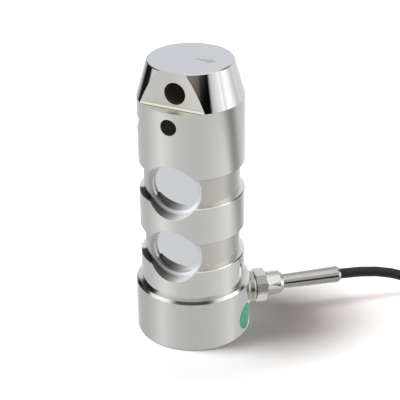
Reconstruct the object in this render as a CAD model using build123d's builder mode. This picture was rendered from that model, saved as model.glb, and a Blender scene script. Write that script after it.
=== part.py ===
from build123d import *
import os
from math import ceil, cos, pi, radians, sin, sqrt, tan

os.makedirs("parts", exist_ok=True)

# Shear pin load cell, millimetres. The pin stands on its head collar: the origin is the centre
# of the collar's base face, +Z runs up the pin to its tapered nose, +X is the load direction
# that the arrow on the nose shows, and the gauge pockets face -Y and +Y.

# Turned steel pin
shank_diameter = 50.0
pin_length = 139.8
collar_diameter = 55.4
collar_height = 25.9
collar_ledge_height = 27.2
collar_ledge_diameter = 53.3
nose_start = 122.7
nose_diameter = 40.1
nose_rim_chamfer = 0.35
base_chamfer = 0.5

# Shear grooves and gauge pockets, bottom to top
section_heights = (49.5, 82.9)
groove_width = 14.4
groove_diameter = 45.4
groove_edge_chamfer = 0.35
pocket_diameter = 27.0
cover_ledge_offset = 18.55
cover_diameter = 23.2
cover_thickness = 1.2
cover_recess = 1.6
cover_fit = 0.04
gauge_cavity_diameter = 20.0
web_thickness = 8.0

# Nose flat, its two blind holes, the keeper slot and the arrow
nose_flat_offset = 18.95
nose_flat_turn = 2.0
nose_hole_diameter = 10.4
nose_hole_height = 129.9
nose_hole_shift = 0.8
nose_hole_depth = 24.0
dowel_hole_diameter = 7.8
dowel_hole_height = 115.8
dowel_hole_depth = 14.0
keeper_slot_offset = 19.0
keeper_slot_bottom = 106.8
keeper_slot_width = 7.0
arrow_tail = 3.8
arrow_length = 8.2
arrow_shaft_width = 1.7
arrow_head_length = 3.2
arrow_head_width = 4.8
arrow_depth = 0.3

# Head cavity and the cap that closes it
cavity_diameter = 32.0
cavity_top = 22.8
cap_rim = 4.7
cap_thickness = 5.0
cap_fit = 0.05
ring_section = 1.8
ring_groove_width = 2.2
ring_groove_bottom = 1.4
cap_screw_diameter = 3.0
cap_screw_head_diameter = 5.5
cap_screw_length = 11.0
cap_screw_inset = 4.0
cap_screw_turn = 45.0
cap_screw_socket = 2.0
cap_screw_socket_depth = 1.2
screw_fit = 0.1

# Bridge board inside the head
board_diameter = 26.0
board_thickness = 1.6
board_notch_radius = 2.4
standoff_height = 3.0
standoff_diameter = 4.5
board_screw_diameter = 2.0
board_screw_head_diameter = 3.8
board_screw_head_height = 1.3
board_screw_length = 6.4
board_screw_circle = 19.0
board_screw_turn = 60.0
board_screw_spare_depth = 0.6
resistor_diameter = 1.8
resistor_length = 5.2
resistor_spacing = 3.2
resistor_offset = 3.4
resistor_count = 3
terminal_post_size = 1.0
terminal_post_height = 2.2
terminal_post_spacing = 2.2
terminal_post_offset = 2.6
terminal_post_count = 4

# Strain gauges, their solder terminals and the leads between them
gauge_width = 9.0
gauge_height = 7.6
gauge_thickness = 0.4
gauge_grid_width = 2.4
gauge_grid_length = 4.6
gauge_grid_thickness = 0.2
gauge_grid_spacing = 4.0
gauge_grid_angle = 45.0
terminal_width = 6.0
terminal_height = 2.2
terminal_thickness = 0.8
terminal_drop = 6.4
lead_bundle_diameter = 1.8
lead_passage_diameter = 3.0

# Cable gland: distances are measured outwards from the pin's own axis
gland_angle = 37.5
gland_height = 15.3
boss_diameter = 14.8
boss_spigot_diameter = 13.0
boss_spigot_start = 17.0
boss_stand = 2.1
washer_diameter = 13.4
washer_thickness = 1.3
body_across_flats = 14.2
body_hex_length = 5.3
body_hex_turn = -4.7
body_thread_diameter = 10.0
body_shank_start = 21.0
body_spigot_length = 6.0
cable_bore_diameter = 5.5
seal_diameter = 8.2
seal_length = 6.6
nut_across_flats = 11.8
nut_length = 8.6
nut_gap = 0.4
nut_hex_turn = 36.0
nut_thread_depth = 6.0
nut_rim_chamfer = 0.8
nut_rim_drop = 0.6
nut_corner_taper = 0.7
nut_nose_length = 1.9
nut_nose_diameter = 9.4
sleeve_root_diameter = 7.2
sleeve_end_diameter = 8.3
sleeve_length = 32.8
sleeve_end_chamfer = 1.4
sleeve_chamfer_drop = 0.9
sleeve_flange_diameter = 9.6
sleeve_flange_thickness = 0.8
gland_fit = 0.05

# Cable, its coil and its stripped end
cable_diameter = 5.2
cable_length = 3000.0
cable_inner_start = 18.6
cable_straight = 17.5
cable_sink_reach = 38.0
cable_sink_height = 9.0
cable_sink_drift = 2.0
cable_floor_reach = 55.0
cable_floor_drift = 12.0
cable_last_run = 34.2
coil_heading_angle = 40.0
coil_mean_diameter = 60.0
coil_turns_wide = 4
coil_notch_length = 30.0
coil_notch_fit = 1.0
coil_edge_radius = 2.4
core_bundle_diameter = 2.6
core_bundle_drop = 2.0
core_bundle_reach = 3.6
core_bundle_lean = 0.6
boot_diameter = 5.8
boot_length = 14.0
boot_end_chamfer = 0.6
lead_diameter = 1.4
lead_length = 24.0
lead_start_offset = 6.0
lead_spread = 2.6
lead_fan_width = 2.1
lead_colours = ("red", "black", "green", "white")

# Round inspection label on the collar
label_diameter = 13.0
label_thickness = 0.15
label_height = 8.7
label_angle = 2.2

# Worked-out sizes
shank_radius = shank_diameter / 2
collar_radius = collar_diameter / 2
cap_diameter = collar_diameter - 2 * cap_rim
cap_screw_circle = cap_diameter - 2 * cap_screw_inset
cavity_floor = cap_thickness
board_bottom = cap_thickness + standoff_height
board_top = board_bottom + board_thickness
seat_offset = cover_ledge_offset - cover_recess - cover_thickness
web_face = web_thickness / 2
section_names = ("lower", "upper")
cap_screw_start = gland_angle + cap_screw_turn
board_screw_start = gland_angle + board_screw_turn
board_hole_depth = board_screw_length - board_thickness - standoff_height + board_screw_spare_depth

# Planes that look out of the pin: one on each side of the web
side_planes = {
    "front": Plane(origin=(0, 0, 0), x_dir=(1, 0, 0), z_dir=(0, -1, 0)),
    "rear": Plane(origin=(0, 0, 0), x_dir=(-1, 0, 0), z_dir=(0, 1, 0)),
}
front = side_planes["front"]

# Gland axis: local X is level and local Y is up
gland_outward = Vector(cos(radians(gland_angle)), sin(radians(gland_angle)), 0)
gland_across = Vector(-sin(radians(gland_angle)), cos(radians(gland_angle)), 0)
gland_axis = Plane(
    origin=(0, 0, gland_height), x_dir=tuple(gland_across), z_dir=tuple(gland_outward)
)
boss_face = collar_radius + boss_stand
washer_face = boss_face + washer_thickness
hex_face = washer_face + body_hex_length
body_end = hex_face + body_spigot_length
nut_start = hex_face + nut_gap
nut_end = nut_start + nut_length
flange_start = nut_start + nut_thread_depth + nut_gap
flange_end = flange_start + sleeve_flange_thickness
sleeve_end = flange_start + sleeve_length


def cylinder_along(plane, start, length, diameter, mode=Mode.ADD):
    """A round bar or hole whose axis is the plane's normal, from start outwards."""
    with BuildSketch(plane.offset(start)) as section:
        Circle(diameter / 2)
    extrude(section.sketch, amount=length, mode=mode)


# Pin body: one turned piece with grooves, pockets, web, nose flat, holes and head cavity
with BuildPart() as pin_body:
    with BuildSketch(Plane.XZ):
        with BuildLine():
            Polyline(
                (0, 0),
                (collar_radius, 0),
                (collar_radius, collar_height),
                (collar_ledge_diameter / 2, collar_ledge_height),
                (shank_radius, collar_ledge_height),
                (shank_radius, nose_start),
                (nose_diameter / 2, pin_length),
                (0, pin_length),
                close=True,
            )
        make_face()
    revolve(axis=Axis.Z)
    chamfer(pin_body.edges().sort_by(Axis.Z)[0], length=base_chamfer)
    chamfer(pin_body.edges().group_by(Axis.Z)[-1], length=nose_rim_chamfer)
    for section_height in section_heights:
        groove_bottom = section_height - groove_width / 2
        with BuildSketch(Plane.XY.offset(groove_bottom)):
            Circle(shank_radius + 1)
            Circle(groove_diameter / 2, mode=Mode.SUBTRACT)
        extrude(amount=groove_width, mode=Mode.SUBTRACT)
    groove_rims = [
        edge
        for edge in pin_body.edges().filter_by(GeomType.CIRCLE)
        if abs(edge.radius - shank_radius) < 0.01
        and collar_ledge_height + 1 < edge.center().Z < nose_start - 1
    ]
    chamfer(groove_rims, length=groove_edge_chamfer)

    # Stepped gauge pockets on both sides of each shear section
    for plane in side_planes.values():
        for section_height in section_heights:
            pocket = Plane(
                origin=(0, 0, section_height), x_dir=tuple(plane.x_dir), z_dir=tuple(plane.z_dir)
            )
            outside = shank_radius - cover_ledge_offset + 1
            cylinder_along(pocket, cover_ledge_offset, outside, pocket_diameter, Mode.SUBTRACT)
            seat_depth = cover_ledge_offset - seat_offset
            cylinder_along(pocket, seat_offset, seat_depth, cover_diameter, Mode.SUBTRACT)
            cavity_depth = seat_offset - web_face
            cylinder_along(pocket, web_face, cavity_depth, gauge_cavity_diameter, Mode.SUBTRACT)

    # Nose flat with its ledge, and the two blind holes
    with BuildSketch(Plane.XY.offset(nose_start)):
        with Locations(Rotation(0, 0, -nose_flat_turn) * Location((0, -nose_flat_offset, 0))):
            Rectangle(shank_diameter + 2, shank_diameter, align=(Align.CENTER, Align.MAX))
    extrude(amount=pin_length - nose_start + 1, mode=Mode.SUBTRACT)
    for shift, height, reach, depth, diameter in (
        (nose_hole_shift, nose_hole_height, nose_flat_offset, nose_hole_depth, nose_hole_diameter),
        (0, dowel_hole_height, shank_radius, dowel_hole_depth, dowel_hole_diameter),
    ):
        hole = Plane(origin=(shift, 0, height), x_dir=tuple(front.x_dir), z_dir=tuple(front.z_dir))
        cylinder_along(hole, reach - depth, depth + 1, diameter, Mode.SUBTRACT)

    # Keeper slot across the -X side
    with BuildSketch(Plane.XY.offset(keeper_slot_bottom)):
        with Locations((-keeper_slot_offset, 0)):
            Rectangle(shank_radius, shank_diameter + 2, align=(Align.MAX, Align.CENTER))
    extrude(amount=keeper_slot_width, mode=Mode.SUBTRACT)

    # Load arrow engraved in the nose face
    arrow_neck = arrow_tail + arrow_length - arrow_head_length
    with BuildSketch(Plane.XY.offset(pin_length)):
        with BuildLine():
            Polyline(
                (arrow_tail, arrow_shaft_width / 2),
                (arrow_tail, -arrow_shaft_width / 2),
                (arrow_neck, -arrow_shaft_width / 2),
                (arrow_neck, -arrow_head_width / 2),
                (arrow_tail + arrow_length, 0),
                (arrow_neck, arrow_head_width / 2),
                (arrow_neck, arrow_shaft_width / 2),
                close=True,
            )
        make_face()
    extrude(amount=-arrow_depth, mode=Mode.SUBTRACT)

    # Cap seat and cavity in the head, cap screw holes, gland port and lead passages
    with BuildSketch(Plane.XY):
        Circle(cap_diameter / 2)
    extrude(amount=cap_thickness, mode=Mode.SUBTRACT)
    with BuildSketch(Plane.XY.offset(cavity_floor)):
        Circle(cavity_diameter / 2)
    extrude(amount=cavity_top - cavity_floor, mode=Mode.SUBTRACT)
    with BuildSketch(Plane.XY.offset(cap_thickness)):
        with PolarLocations(cap_screw_circle / 2, 4, start_angle=cap_screw_start):
            Circle(cap_screw_diameter / 2 + screw_fit)
    extrude(amount=cap_screw_length - cap_thickness + 1, mode=Mode.SUBTRACT)
    port_start = boss_spigot_start - 3
    port_diameter = boss_spigot_diameter + 2 * gland_fit
    port_length = collar_radius + 1 - port_start
    cylinder_along(gland_axis, port_start, port_length, port_diameter, Mode.SUBTRACT)
    passage_offset = web_face + terminal_thickness + lead_bundle_diameter / 2
    passage_top = section_heights[-1] - gauge_cavity_diameter / 4
    with BuildSketch(Plane.XY.offset(cavity_top - 1)):
        with Locations((0, -passage_offset), (0, passage_offset)):
            Circle(lead_passage_diameter / 2)
    extrude(amount=passage_top - cavity_top + 1, mode=Mode.SUBTRACT)
pin_body.part.label = "pin_body"
export_step(pin_body.part, "parts/pin_body.step")

# Welded covers, strain gauges and solder terminals, one of each in every pocket
for side, plane in side_planes.items():
    for section, section_height in zip(section_names, section_heights):
        pocket = Plane(
            origin=(0, 0, section_height), x_dir=tuple(plane.x_dir), z_dir=tuple(plane.z_dir)
        )
        with BuildPart() as cover:
            cylinder_along(pocket, seat_offset, cover_thickness, cover_diameter - 2 * cover_fit)
        cover.part.label = f"cover_{side}_{section}"
        export_step(cover.part, f"parts/cover_{side}_{section}.step")

        # Foil rosette: one carrier with two grids at plus and minus 45 degrees
        with BuildPart() as gauge:
            with BuildSketch(pocket.offset(web_face)):
                RectangleRounded(gauge_width, gauge_height, gauge_height / 10)
            extrude(amount=gauge_thickness)
            with BuildSketch(pocket.offset(web_face + gauge_thickness)):
                for turn in (1, -1):
                    with Locations((turn * gauge_grid_spacing / 2, 0)):
                        Rectangle(
                            gauge_grid_width, gauge_grid_length, rotation=turn * gauge_grid_angle
                        )
            extrude(amount=gauge_grid_thickness)
        gauge.part.label = f"gauge_{side}_{section}"
        export_step(gauge.part, f"parts/gauge_{side}_{section}.step")

        with BuildPart() as terminal:
            with BuildSketch(pocket.offset(web_face)):
                with Locations((0, -terminal_drop)):
                    Rectangle(terminal_width, terminal_height)
            extrude(amount=terminal_thickness)
        terminal.part.label = f"terminal_{side}_{section}"
        export_step(terminal.part, f"parts/terminal_{side}_{section}.step")

# Lead bundles from the bridge board up the drilled passages, past each terminal
for side, plane in side_planes.items():
    with BuildPart() as lead_bundle:
        with BuildSketch(Plane.XY.offset(board_top)):
            with Locations((0, plane.z_dir.Y * passage_offset)):
                Circle(lead_bundle_diameter / 2)
        extrude(amount=section_heights[-1] - terminal_drop + terminal_height / 2 - board_top)
    lead_bundle.part.label = f"lead_bundle_{side}"
    export_step(lead_bundle.part, f"parts/lead_bundle_{side}.step")

# Head cap with its seal groove, countersunk screw holes and board screw holes
cap_radius = cap_diameter / 2 - cap_fit
ring_groove_radius = cap_diameter / 2 - ring_section
countersink_depth = (cap_screw_head_diameter - cap_screw_diameter) / 2
with BuildPart() as head_cap:
    with BuildSketch(Plane.XY):
        Circle(cap_radius)
    extrude(amount=cap_thickness)
    with BuildSketch(Plane.XY.offset(ring_groove_bottom)):
        Circle(cap_radius + 1)
        Circle(ring_groove_radius, mode=Mode.SUBTRACT)
    extrude(amount=ring_groove_width, mode=Mode.SUBTRACT)
    with Locations(Plane.XY.rotated((180, 0, 0))):
        with PolarLocations(cap_screw_circle / 2, 4, start_angle=-cap_screw_start):
            CounterSinkHole(
                cap_screw_diameter / 2 + screw_fit,
                cap_screw_head_diameter / 2 + screw_fit,
                depth=cap_thickness,
            )
    with BuildSketch(Plane.XY.offset(cap_thickness)):
        with PolarLocations(board_screw_circle / 2, 3, start_angle=board_screw_start):
            Circle(board_screw_diameter / 2 + screw_fit / 2)
    extrude(amount=-board_hole_depth, mode=Mode.SUBTRACT)
head_cap.part.label = "head_cap"
export_step(head_cap.part, "parts/head_cap.step")

with BuildPart() as cap_seal:
    ring_centre = cap_diameter / 2 - ring_section / 2
    with BuildSketch(Plane.XZ):
        with Locations((ring_centre, ring_groove_bottom + ring_groove_width / 2)):
            Circle(ring_section / 2)
    revolve(axis=Axis.Z)
cap_seal.part.label = "cap_seal"
export_step(cap_seal.part, "parts/cap_seal.step")

with BuildPart() as cap_screws:
    with BuildSketch(Plane.XY):
        with PolarLocations(cap_screw_circle / 2, 4, start_angle=cap_screw_start):
            Circle(cap_screw_diameter / 2)
    extrude(amount=cap_screw_length)
    with PolarLocations(cap_screw_circle / 2, 4, start_angle=cap_screw_start):
        Cone(
            cap_screw_head_diameter / 2,
            cap_screw_diameter / 2,
            countersink_depth,
            align=(Align.CENTER, Align.CENTER, Align.MIN),
        )
    with BuildSketch(Plane.XY):
        with PolarLocations(cap_screw_circle / 2, 4, start_angle=cap_screw_start):
            RegularPolygon(cap_screw_socket / 2, 6, major_radius=False)
    extrude(amount=cap_screw_socket_depth, mode=Mode.SUBTRACT)
cap_screws.part.label = "cap_screws"
export_step(cap_screws.part, "parts/cap_screws.step")

# Bridge board on three standoffs, with its screws, trim resistors and terminal posts
with BuildPart() as board_standoffs:
    with BuildSketch(Plane.XY.offset(cap_thickness)):
        with PolarLocations(board_screw_circle / 2, 3, start_angle=board_screw_start):
            RegularPolygon(standoff_diameter / 2, 6, major_radius=False)
            Circle(board_screw_diameter / 2 + screw_fit, mode=Mode.SUBTRACT)
    extrude(amount=standoff_height)
board_standoffs.part.label = "board_standoffs"
export_step(board_standoffs.part, "parts/board_standoffs.step")

with BuildPart() as bridge_board:
    with BuildSketch(Plane.XY.offset(board_bottom)):
        Circle(board_diameter / 2)
        with PolarLocations(board_diameter / 2, 2, start_angle=gland_angle + 90):
            Circle(board_notch_radius, mode=Mode.SUBTRACT)
        with PolarLocations(board_screw_circle / 2, 3, start_angle=board_screw_start):
            Circle(board_screw_diameter / 2 + screw_fit, mode=Mode.SUBTRACT)
    extrude(amount=board_thickness)
bridge_board.part.label = "bridge_board"
export_step(bridge_board.part, "parts/bridge_board.step")

with BuildPart() as board_screws:
    with BuildSketch(Plane.XY.offset(board_top)):
        with PolarLocations(board_screw_circle / 2, 3, start_angle=board_screw_start):
            Circle(board_screw_diameter / 2)
    extrude(amount=-board_screw_length)
    with BuildSketch(Plane.XY.offset(board_top)):
        with PolarLocations(board_screw_circle / 2, 3, start_angle=board_screw_start):
            Circle(board_screw_head_diameter / 2)
    extrude(amount=board_screw_head_height)
board_screws.part.label = "board_screws"
export_step(board_screws.part, "parts/board_screws.step")

with BuildPart() as trim_resistors:
    with BuildSketch(Plane.YZ.offset(-resistor_offset - resistor_length / 2)):
        with Locations((0, board_top + resistor_diameter / 2)):
            with GridLocations(resistor_spacing, 1, resistor_count, 1):
                Circle(resistor_diameter / 2)
    extrude(amount=resistor_length)
trim_resistors.part.label = "trim_resistors"
export_step(trim_resistors.part, "parts/trim_resistors.step")

with BuildPart() as terminal_posts:
    with BuildSketch(Plane.XY.offset(board_top)):
        with Locations((terminal_post_offset, 0)):
            with GridLocations(1, terminal_post_spacing, 1, terminal_post_count):
                Rectangle(terminal_post_size, terminal_post_size)
    extrude(amount=terminal_post_height)
terminal_posts.part.label = "terminal_posts"
export_step(terminal_posts.part, "parts/terminal_posts.step")

# Gland boss: a welded bush whose underside fits the round side of the collar
with BuildPart() as gland_boss:
    cylinder_along(gland_axis, boss_spigot_start, boss_face - boss_spigot_start, boss_diameter)
    with BuildSketch(Plane.XY):
        Circle(collar_radius)
    extrude(amount=collar_ledge_height, mode=Mode.SUBTRACT)
    cylinder_along(
        gland_axis, boss_spigot_start, boss_face - boss_spigot_start, boss_spigot_diameter
    )
    bore_diameter = body_thread_diameter + 2 * gland_fit
    cylinder_along(
        gland_axis, boss_spigot_start, boss_face - boss_spigot_start, bore_diameter, Mode.SUBTRACT
    )
gland_boss.part.label = "gland_boss"
export_step(gland_boss.part, "parts/gland_boss.step")

with BuildPart() as gland_washer:
    cylinder_along(gland_axis, boss_face, washer_thickness, washer_diameter)
    cylinder_along(gland_axis, boss_face, washer_thickness, bore_diameter, Mode.SUBTRACT)
gland_washer.part.label = "gland_washer"
export_step(gland_washer.part, "parts/gland_washer.step")

# Gland body: hexagon with a threaded shank inwards and a threaded spigot outwards
with BuildPart() as gland_body:
    with BuildSketch(gland_axis.offset(washer_face)):
        RegularPolygon(
            body_across_flats / 2, 6, major_radius=False, rotation=body_hex_turn
        )
    extrude(amount=body_hex_length)
    cylinder_along(gland_axis, body_shank_start, body_end - body_shank_start, body_thread_diameter)
    cylinder_along(
        gland_axis,
        body_shank_start,
        body_end - body_shank_start,
        cable_bore_diameter,
        Mode.SUBTRACT,
    )
    cylinder_along(
        gland_axis, body_end - seal_length, seal_length, seal_diameter + 2 * gland_fit, Mode.SUBTRACT
    )
gland_body.part.label = "gland_body"
export_step(gland_body.part, "parts/gland_body.step")

with BuildPart() as gland_seal:
    cylinder_along(gland_axis, body_end - seal_length, seal_length, seal_diameter)
    cylinder_along(
        gland_axis,
        body_end - seal_length,
        seal_length,
        cable_diameter + 2 * gland_fit,
        Mode.SUBTRACT,
    )
gland_seal.part.label = "gland_seal"
export_step(gland_seal.part, "parts/gland_seal.step")

# Clamp nut: a turned blank that tapers to its nose, milled to a hexagon
nut_corner_radius = nut_across_flats / sqrt(3)
gland_profile_plane = Plane(
    origin=(0, 0, gland_height), x_dir=tuple(gland_outward), z_dir=(0, 0, 1)
)
gland_line = Axis(origin=(0, 0, gland_height), direction=tuple(gland_outward))
with BuildPart() as gland_nut:
    with BuildSketch(gland_profile_plane):
        with BuildLine():
            Polyline(
                (nut_start, 0),
                (nut_start, nut_corner_radius - nut_rim_drop),
                (nut_start + nut_rim_chamfer, nut_corner_radius),
                (nut_end - nut_nose_length, nut_corner_radius - nut_corner_taper),
                (nut_end, nut_nose_diameter / 2),
                (nut_end, 0),
                close=True,
            )
        make_face()
    revolve(axis=gland_line)
    with BuildSketch(gland_axis.offset(nut_start)):
        RegularPolygon(nut_across_flats / 2, 6, major_radius=False, rotation=nut_hex_turn)
    extrude(amount=nut_length, mode=Mode.INTERSECT)
    thread_bore = body_thread_diameter + 2 * gland_fit
    bored_depth = flange_end + gland_fit - nut_start
    cylinder_along(gland_axis, nut_start, bored_depth, thread_bore, Mode.SUBTRACT)
    cylinder_along(
        gland_axis, nut_start, nut_length, sleeve_root_diameter + 4 * gland_fit, Mode.SUBTRACT
    )
gland_nut.part.label = "gland_nut"
export_step(gland_nut.part, "parts/gland_nut.step")

# Strain relief sleeve: flanged tube that widens a little towards the cable
sleeve_root = sleeve_root_diameter / 2
sleeve_tip = sleeve_end_diameter / 2
with BuildPart() as cable_sleeve:
    with BuildSketch(gland_profile_plane):
        with BuildLine():
            Polyline(
                (flange_start, cable_bore_diameter / 2),
                (flange_start, sleeve_flange_diameter / 2),
                (flange_end, sleeve_flange_diameter / 2),
                (flange_end, sleeve_root),
                (nut_end, sleeve_root),
                (sleeve_end - sleeve_end_chamfer, sleeve_tip),
                (sleeve_end, sleeve_tip - sleeve_chamfer_drop),
                (sleeve_end, cable_bore_diameter / 2),
                close=True,
            )
        make_face()
    revolve(axis=gland_line)
cable_sleeve.part.label = "cable_sleeve"
export_step(cable_sleeve.part, "parts/cable_sleeve.step")

# Cable inside the gland, and its bundle of cores bent down to the board
with BuildPart() as cable_inner:
    cylinder_along(gland_axis, cable_inner_start, sleeve_end - cable_inner_start, cable_diameter)
cable_inner.part.label = "cable_inner"
export_step(cable_inner.part, "parts/cable_inner.step")


def gland_point(outwards, across, height):
    """A point from its distance along the gland, level distance to its left and height."""
    return gland_outward * outwards + gland_across * across + Vector(0, 0, height)


def corner_radii(points):
    """Arc radii of 0.45 of the shorter run over the tangent of half the turn."""
    radii = []
    for before, corner, after in zip(points, points[1:], points[2:]):
        run_in = corner - before
        run_out = after - corner
        half_turn = radians(run_in.get_angle(run_out)) / 2
        radii.append(0.45 * min(run_in.length, run_out.length) / tan(half_turn))
    return radii


core_points = [
    gland_point(cable_inner_start, 0, gland_height),
    gland_point(cable_inner_start - core_bundle_reach, 0, gland_height),
    gland_point(cable_inner_start - 2 * core_bundle_reach, 0, board_top + core_bundle_drop),
    gland_point(cable_inner_start - 2 * core_bundle_reach - core_bundle_lean, 0, board_top),
]
with BuildPart() as core_bundle:
    with BuildLine():
        core_path = FilletPolyline(*core_points, radius=corner_radii(core_points))
    with BuildSketch(Plane(origin=core_points[0], z_dir=core_points[0] - core_points[1])):
        Circle(core_bundle_diameter / 2)
    sweep()
    with BuildSketch(Plane.XY.offset(board_top)):
        Circle(cavity_diameter / 2)
    extrude(amount=-core_bundle_drop, mode=Mode.SUBTRACT)
core_bundle.part.label = "core_bundle"
export_step(core_bundle.part, "parts/core_bundle.step")

# Free cable: straight out of the sleeve, down to the floor and into the coil
cable_radius = cable_diameter / 2
heading = radians(coil_heading_angle)
coil_heading = gland_outward * cos(heading) - gland_across * sin(heading)
coil_side = gland_across * cos(heading) + gland_outward * sin(heading)
floor_point = gland_point(sleeve_end + cable_floor_reach, -cable_floor_drift, cable_radius)
cable_route = [
    gland_point(sleeve_end, 0, gland_height),
    gland_point(sleeve_end + cable_straight, 0, gland_height),
    gland_point(sleeve_end + cable_sink_reach, -cable_sink_drift, cable_sink_height),
    floor_point,
    floor_point + coil_heading * cable_last_run,
]
cable_radii = corner_radii(cable_route)
with BuildPart() as cable_run:
    with BuildLine():
        cable_path = FilletPolyline(*cable_route, radius=cable_radii)
    with BuildSketch(Plane(origin=cable_route[0], z_dir=cable_route[1] - cable_route[0])):
        Circle(cable_radius)
    sweep()
cable_run.part.label = "cable_run"
export_step(cable_run.part, "parts/cable_run.step")
run_length = cable_path.length
tube_volume = run_length * pi * cable_radius**2
print("cable corner radii:", [round(radius, 1) for radius in cable_radii])
print("cable run length:", round(run_length, 2), "volume over section x length:",
      round(cable_run.part.volume / tube_volume, 4))

# Coil of the stored length: the run enters it at the outermost turn of the lowest layer
coil_turns = (cable_length - run_length) / (pi * coil_mean_diameter)
coil_layers = ceil(coil_turns / coil_turns_wide)
print("coil turns:", round(coil_turns, 2), "in", coil_layers, "layers")
coil_half_width = coil_turns_wide * cable_diameter / 2
coil_outer_radius = coil_mean_diameter / 2 + coil_half_width
coil_inner_radius = coil_mean_diameter / 2 - coil_half_width
coil_height = coil_layers * cable_diameter
outer_turn_radius = coil_outer_radius - cable_radius
coil_entry = cable_route[-1]
coil_centre = coil_entry - coil_side * outer_turn_radius
coil_centre = Vector(coil_centre.X, coil_centre.Y, 0)
notch_plane = Plane(
    origin=coil_entry, x_dir=tuple(coil_side), z_dir=tuple(coil_heading * -1)
)
with BuildPart() as cable_coil:
    with BuildSketch(Plane(origin=coil_centre)):
        Circle(coil_outer_radius)
        Circle(coil_inner_radius, mode=Mode.SUBTRACT)
    extrude(amount=coil_height)
    fillet(cable_coil.edges().group_by(Axis.Z)[-1], radius=coil_edge_radius)
    notch_width = cable_diameter + 2 * coil_notch_fit
    with BuildSketch(notch_plane):
        Rectangle(notch_width, notch_width)
    extrude(amount=coil_notch_length, mode=Mode.SUBTRACT)
cable_coil.part.label = "cable_coil"
export_step(cable_coil.part, "parts/cable_coil.step")

# Stripped end of the cable, lying on top of the coil: heat-shrink boot and four leads
end_direction = coil_heading * -1
end_middle = coil_centre - coil_side * (coil_mean_diameter / 2)
boot_start = end_middle - end_direction * (boot_length + lead_start_offset)
boot_height = coil_height + boot_diameter / 2
with BuildPart() as cable_boot:
    with BuildSketch(
        Plane(
            origin=(boot_start.X, boot_start.Y, boot_height),
            x_dir=tuple(coil_side),
            z_dir=tuple(end_direction),
        )
    ):
        Circle(boot_diameter / 2)
    extrude(amount=boot_length)
    chamfer(cable_boot.edges().filter_by(GeomType.CIRCLE), length=boot_end_chamfer)
cable_boot.part.label = "cable_boot"
export_step(cable_boot.part, "parts/cable_boot.step")

lead_radius = lead_diameter / 2
lead_rest_height = coil_height + lead_radius
lead_start = boot_start + end_direction * boot_length


def lead_point(outwards, across, height):
    """A point from its distance past the boot, its level offset and its height."""
    return lead_start + end_direction * outwards + coil_side * across + Vector(0, 0, height)


for index, colour in enumerate(lead_colours):
    column = index - (len(lead_colours) - 1) / 2
    lead_points = [
        lead_point(0, column * lead_diameter, boot_height),
        lead_point(lead_length * 0.2, column * lead_diameter, boot_height),
        lead_point(lead_length * 0.55, column * lead_fan_width, lead_rest_height + 0.1),
        lead_point(lead_length, column * lead_spread, lead_rest_height),
    ]
    with BuildPart() as lead:
        with BuildLine():
            lead_path = FilletPolyline(*lead_points, radius=corner_radii(lead_points))
        with BuildSketch(Plane(origin=lead_points[0], z_dir=lead_points[1] - lead_points[0])):
            Circle(lead_radius)
        sweep()
    lead.part.label = f"lead_{colour}"
    export_step(lead.part, f"parts/lead_{colour}.step")

# Round label on the collar, as a thin curved disc
with BuildPart() as collar_label:
    with BuildSketch(Plane.XY):
        Circle(collar_radius + label_thickness)
        Circle(collar_radius, mode=Mode.SUBTRACT)
    extrude(amount=collar_height)
    label_outward = (cos(radians(label_angle)), sin(radians(label_angle)), 0)
    with BuildSketch(Plane(origin=(0, 0, label_height), z_dir=label_outward)):
        Circle(label_diameter / 2)
    extrude(amount=collar_diameter, mode=Mode.INTERSECT)
collar_label.part.label = "collar_label"
export_step(collar_label.part, "parts/collar_label.step")
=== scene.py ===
# %% [markdown]
# # Shear pin load cell
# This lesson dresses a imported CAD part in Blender. The part is a stainless steel pin that
# carries a crane hook or a sheave and measures the load on the way: two shear grooves, a
# strain gauge pocket on each side of each groove, a collar head and a gland for the cable.
# Sizes below are in millimetres unless a comment says otherwise, and MM turns them into
# Blender's metres.

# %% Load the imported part
import math

import bmesh
import bpy
from mathutils import Matrix, Vector


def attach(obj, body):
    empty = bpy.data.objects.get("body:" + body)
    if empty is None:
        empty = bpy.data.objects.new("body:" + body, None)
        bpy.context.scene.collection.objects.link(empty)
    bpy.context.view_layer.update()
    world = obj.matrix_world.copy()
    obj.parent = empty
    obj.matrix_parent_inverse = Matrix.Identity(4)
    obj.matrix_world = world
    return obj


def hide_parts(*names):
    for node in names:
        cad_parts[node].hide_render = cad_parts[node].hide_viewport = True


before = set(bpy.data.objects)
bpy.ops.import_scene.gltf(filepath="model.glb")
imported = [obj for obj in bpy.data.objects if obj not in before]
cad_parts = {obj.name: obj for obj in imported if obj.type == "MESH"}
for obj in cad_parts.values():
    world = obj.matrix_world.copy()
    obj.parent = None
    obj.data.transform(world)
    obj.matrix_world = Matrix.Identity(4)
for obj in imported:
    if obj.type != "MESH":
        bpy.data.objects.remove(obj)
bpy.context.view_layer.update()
MM = 0.001
print("CAD nodes:", len(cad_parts))

# %% [markdown]
# ## The camera
# The view looks down on the pin from 28 degrees, a little to the right of the gauge pockets.
# A long lens keeps the pin's sides almost parallel, as a product photograph does. The place
# comes from three angles and a distance, so each number says what it does.

# %% Camera
scene = bpy.context.scene
scene.view_settings.view_transform = "Standard"

camera_turn = math.radians(24.2)
camera_rise = math.radians(27.815)
camera_roll = math.radians(-0.557)
camera_distance = 593.99 * MM
look_height = 67.627 * MM
look_right = 3.644 * MM

right = Vector((math.cos(camera_turn), math.sin(camera_turn), 0))
toward = Vector((math.sin(camera_turn), -math.cos(camera_turn), 0))
back = toward * math.cos(camera_rise) + Vector((0, 0, math.sin(camera_rise)))
above = back.cross(right)
rolled_right = right * math.cos(camera_roll) + above * math.sin(camera_roll)
rolled_above = above * math.cos(camera_roll) - right * math.sin(camera_roll)

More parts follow.
